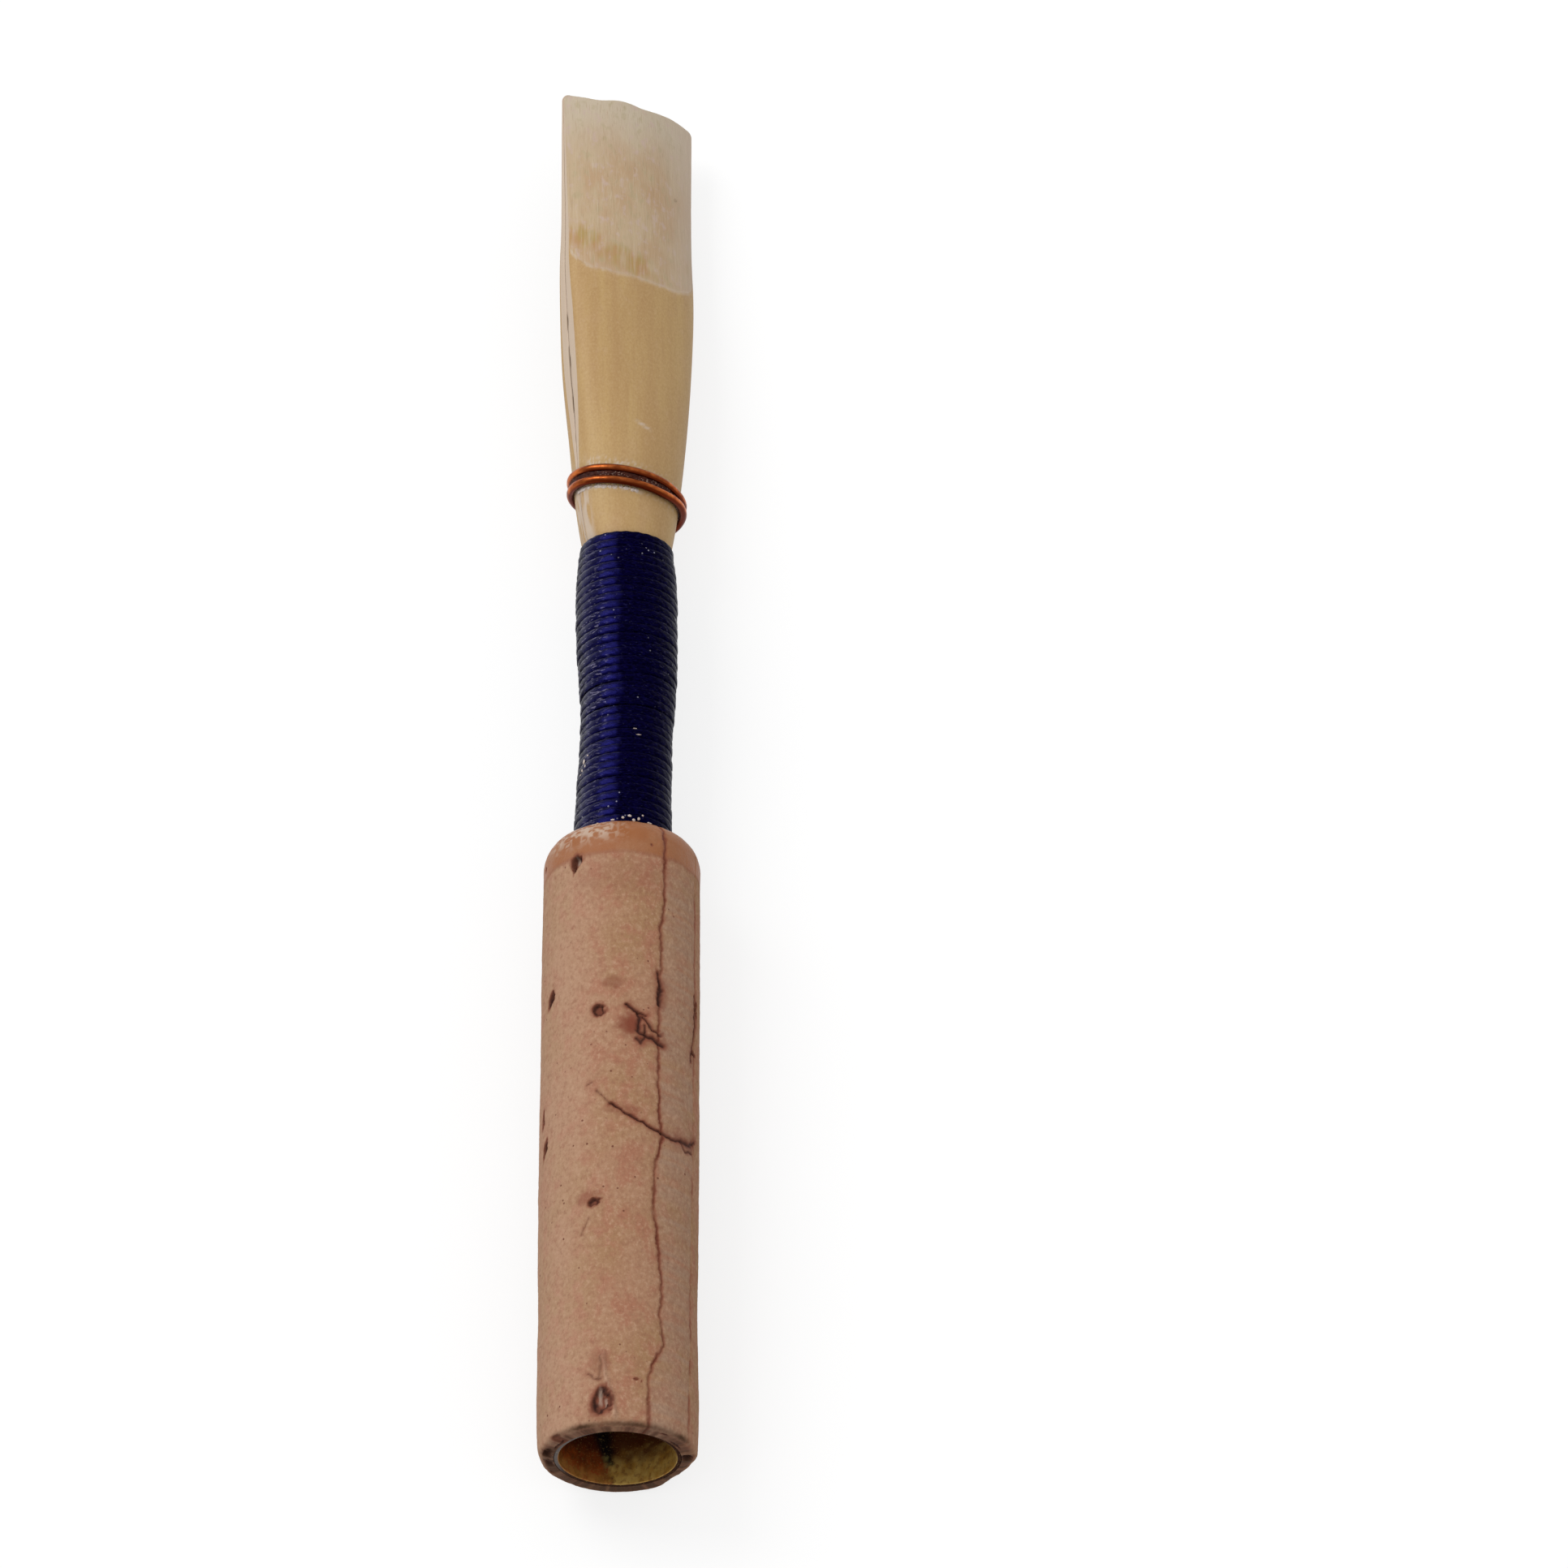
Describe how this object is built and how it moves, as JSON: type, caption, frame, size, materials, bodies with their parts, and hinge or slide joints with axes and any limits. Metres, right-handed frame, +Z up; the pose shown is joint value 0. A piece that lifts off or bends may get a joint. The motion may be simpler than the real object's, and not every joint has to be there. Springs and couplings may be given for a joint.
{
  "type": "oboe reed",
  "caption": "Double reed for an oboe: scraped cane blades bound with thread to a conical brass tube, with a copper wire collar and a cork sleeve that plugs into the instrument.",
  "frame": {"origin": "middle of the reed's length, on the surface that it lies on, straight below its axis", "axes": "+Y along the reed's axis from the open cork end to the tip, +Z up, the reed lying on its cork with its blades rolled 30 degrees about the axis"},
  "size_m": [0.0072, 0.071, 0.0072],
  "materials": {
    "staple_brass": "dulled, drawn tube with a bright cut rim",
    "cork": "sanded cork with dark pits and growth lines, waxed",
    "cane": "satin bark, matt and fibrous where it is scraped",
    "thread": "tight shiny nylon thread",
    "copper_wire": "drawn soft copper wire, lightly tarnished"
  },
  "bodies": {
    "root": {"staple_tube": "staple_brass", "cork_sleeve": "cork", "front_blade": "cane", "rear_blade": "cane", "thread_winding": "thread", "wire": "copper_wire"}
  },
  "joints": []
}
